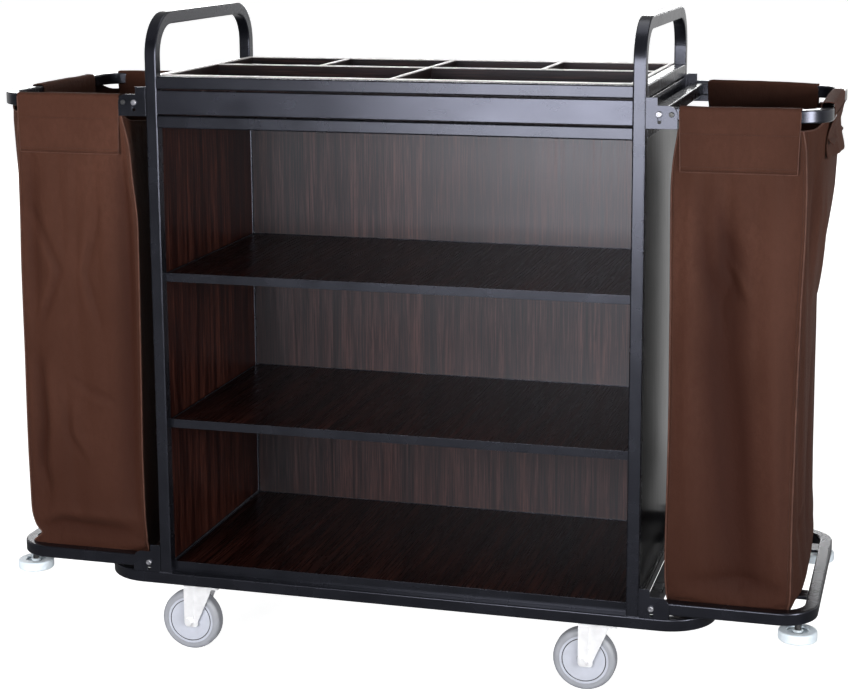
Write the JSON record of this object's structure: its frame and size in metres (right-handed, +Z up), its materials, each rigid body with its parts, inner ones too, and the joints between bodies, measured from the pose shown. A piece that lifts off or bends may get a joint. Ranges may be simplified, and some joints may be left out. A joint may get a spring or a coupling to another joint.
{
  "type": "housekeeping trolley",
  "caption": "Housekeeping trolley: open shelf cabinet on swivel casters with a divided tray, push handles and a folding frame with a cloth laundry bag at each end.",
  "frame": {"origin": "on the floor under the centre of the trolley's bounding box", "axes": "+X along the trolley towards the right-hand bag seen from the open front, +Y from the open front to the back panel, +Z up"},
  "size_m": [1.707, 0.56, 1.36],
  "materials": {
    "frame_paint": "dark blue-black powder coat, satin",
    "fascia_laminate": "dark grey laminate, satin",
    "wood_laminate": "dark brown wood-grain laminate, semi-gloss",
    "edge_trim": "bright edging",
    "zinc_steel": "bright zinc plate",
    "black_steel": "black oxide",
    "bag_cloth": "chocolate brown coated cloth with piped seams",
    "hub_plastic": "light grey",
    "tyre_rubber": "mid grey, non-marking",
    "roller_plastic": "pale grey"
  },
  "bodies": {
    "cabinet": {"base_ring": "frame_paint", "cross_channels": "frame_paint", "left_hoop": "frame_paint", "right_hoop": "frame_paint", "bottom_side_rails": "frame_paint", "tray_lower_rails": "frame_paint", "tray_upper_rails": "frame_paint", "lower_shelf_frame": "frame_paint", "middle_shelf_frame": "frame_paint", "upper_shelf_frame": "frame_paint", "upper_left_brackets": "frame_paint", "upper_right_brackets": "frame_paint", "lower_left_brackets": "frame_paint", "lower_right_brackets": "frame_paint", "tray_fascias": "fascia_laminate", "left_side_panel": "wood_laminate", "right_side_panel": "wood_laminate", "back_panel": "wood_laminate", "lower_shelf_board": "wood_laminate", "middle_shelf_board": "wood_laminate", "upper_shelf_board": "wood_laminate", "tray_floor": "wood_laminate", "tray_liner": "wood_laminate", "tray_long_divider": "wood_laminate", "tray_cross_dividers": "wood_laminate", "tray_edge_trim": "edge_trim", "pivot_bolts": "zinc_steel", "caster_bolts": "zinc_steel", "caster_mounts": "zinc_steel", "lock_bolts": "black_steel", "left_bag": "bag_cloth", "right_bag": "bag_cloth"},
    "upper_left_wing": {"upper_left_frame": "frame_paint"},
    "lower_left_wing": {"lower_left_frame": "frame_paint", "left_roller_bolts": "black_steel"},
    "upper_right_wing": {"upper_right_frame": "frame_paint"},
    "lower_right_wing": {"lower_right_frame": "frame_paint", "right_roller_bolts": "black_steel"},
    "front_left_swivel": {"front_left_fork": "zinc_steel", "front_left_axle": "zinc_steel"},
    "front_left_wheel": {"front_left_hub": "hub_plastic", "front_left_tyre": "tyre_rubber"},
    "front_left_bumper": {"front_left_bumper_roller": "roller_plastic"},
    "front_right_swivel": {"front_right_fork": "zinc_steel", "front_right_axle": "zinc_steel"},
    "front_right_wheel": {"front_right_hub": "hub_plastic", "front_right_tyre": "tyre_rubber"},
    "front_right_bumper": {"front_right_bumper_roller": "roller_plastic"},
    "rear_left_swivel": {"rear_left_fork": "zinc_steel", "rear_left_axle": "zinc_steel"},
    "rear_left_wheel": {"rear_left_hub": "hub_plastic", "rear_left_tyre": "tyre_rubber"},
    "rear_left_bumper": {"rear_left_bumper_roller": "roller_plastic"},
    "rear_right_swivel": {"rear_right_fork": "zinc_steel", "rear_right_axle": "zinc_steel"},
    "rear_right_wheel": {"rear_right_hub": "hub_plastic", "rear_right_tyre": "tyre_rubber"},
    "rear_right_bumper": {"rear_right_bumper_roller": "roller_plastic"}
  },
  "joints": [
    {"name": "upper_left_fold", "type": "hinge", "parent": "cabinet", "child": "upper_left_wing", "pos_m": [-0.533, 0, 1.181], "axis": [0, -1, 0], "range_deg": [0, 90], "deforming": ["left_bag"]},
    {"name": "lower_left_fold", "type": "hinge", "parent": "cabinet", "child": "lower_left_wing", "pos_m": [-0.533, 0, 0.208], "axis": [0, 1, 0], "range_deg": [0, 90], "deforming": ["left_bag"]},
    {"name": "upper_right_fold", "type": "hinge", "parent": "cabinet", "child": "upper_right_wing", "pos_m": [0.533, 0, 1.181], "axis": [0, 1, 0], "range_deg": [0, 90], "deforming": ["right_bag"]},
    {"name": "lower_right_fold", "type": "hinge", "parent": "cabinet", "child": "lower_right_wing", "pos_m": [0.533, 0, 0.208], "axis": [0, -1, 0], "range_deg": [0, 90], "deforming": ["right_bag"]},
    {"name": "front_left_caster_swivel", "type": "hinge", "parent": "cabinet", "child": "front_left_swivel", "pos_m": [-0.428, -0.205, 0.145], "axis": [0, 0, 1], "continuous": true},
    {"name": "front_left_wheel_spin", "type": "hinge", "parent": "front_left_swivel", "child": "front_left_wheel", "pos_m": [-0.466, -0.205, 0.065], "axis": [0, 1, 0], "continuous": true},
    {"name": "front_left_bumper_spin", "type": "hinge", "parent": "lower_left_wing", "child": "front_left_bumper", "pos_m": [-0.815, -0.24, 0.1705], "axis": [0, 0, 1], "continuous": true},
    {"name": "front_right_caster_swivel", "type": "hinge", "parent": "cabinet", "child": "front_right_swivel", "pos_m": [0.428, -0.205, 0.145], "axis": [0, 0, 1], "continuous": true},
    {"name": "front_right_wheel_spin", "type": "hinge", "parent": "front_right_swivel", "child": "front_right_wheel", "pos_m": [0.39, -0.205, 0.065], "axis": [0, 1, 0], "continuous": true},
    {"name": "front_right_bumper_spin", "type": "hinge", "parent": "lower_right_wing", "child": "front_right_bumper", "pos_m": [0.815, -0.24, 0.1705], "axis": [0, 0, 1], "continuous": true},
    {"name": "rear_left_caster_swivel", "type": "hinge", "parent": "cabinet", "child": "rear_left_swivel", "pos_m": [-0.428, 0.205, 0.145], "axis": [0, 0, 1], "continuous": true},
    {"name": "rear_left_wheel_spin", "type": "hinge", "parent": "rear_left_swivel", "child": "rear_left_wheel", "pos_m": [-0.466, 0.205, 0.065], "axis": [0, 1, 0], "continuous": true},
    {"name": "rear_left_bumper_spin", "type": "hinge", "parent": "lower_left_wing", "child": "rear_left_bumper", "pos_m": [-0.815, 0.24, 0.1705], "axis": [0, 0, 1], "continuous": true},
    {"name": "rear_right_caster_swivel", "type": "hinge", "parent": "cabinet", "child": "rear_right_swivel", "pos_m": [0.428, 0.205, 0.145], "axis": [0, 0, 1], "continuous": true},
    {"name": "rear_right_wheel_spin", "type": "hinge", "parent": "rear_right_swivel", "child": "rear_right_wheel", "pos_m": [0.39, 0.205, 0.065], "axis": [0, 1, 0], "continuous": true},
    {"name": "rear_right_bumper_spin", "type": "hinge", "parent": "lower_right_wing", "child": "rear_right_bumper", "pos_m": [0.815, 0.24, 0.1705], "axis": [0, 0, 1], "continuous": true}
  ]
}
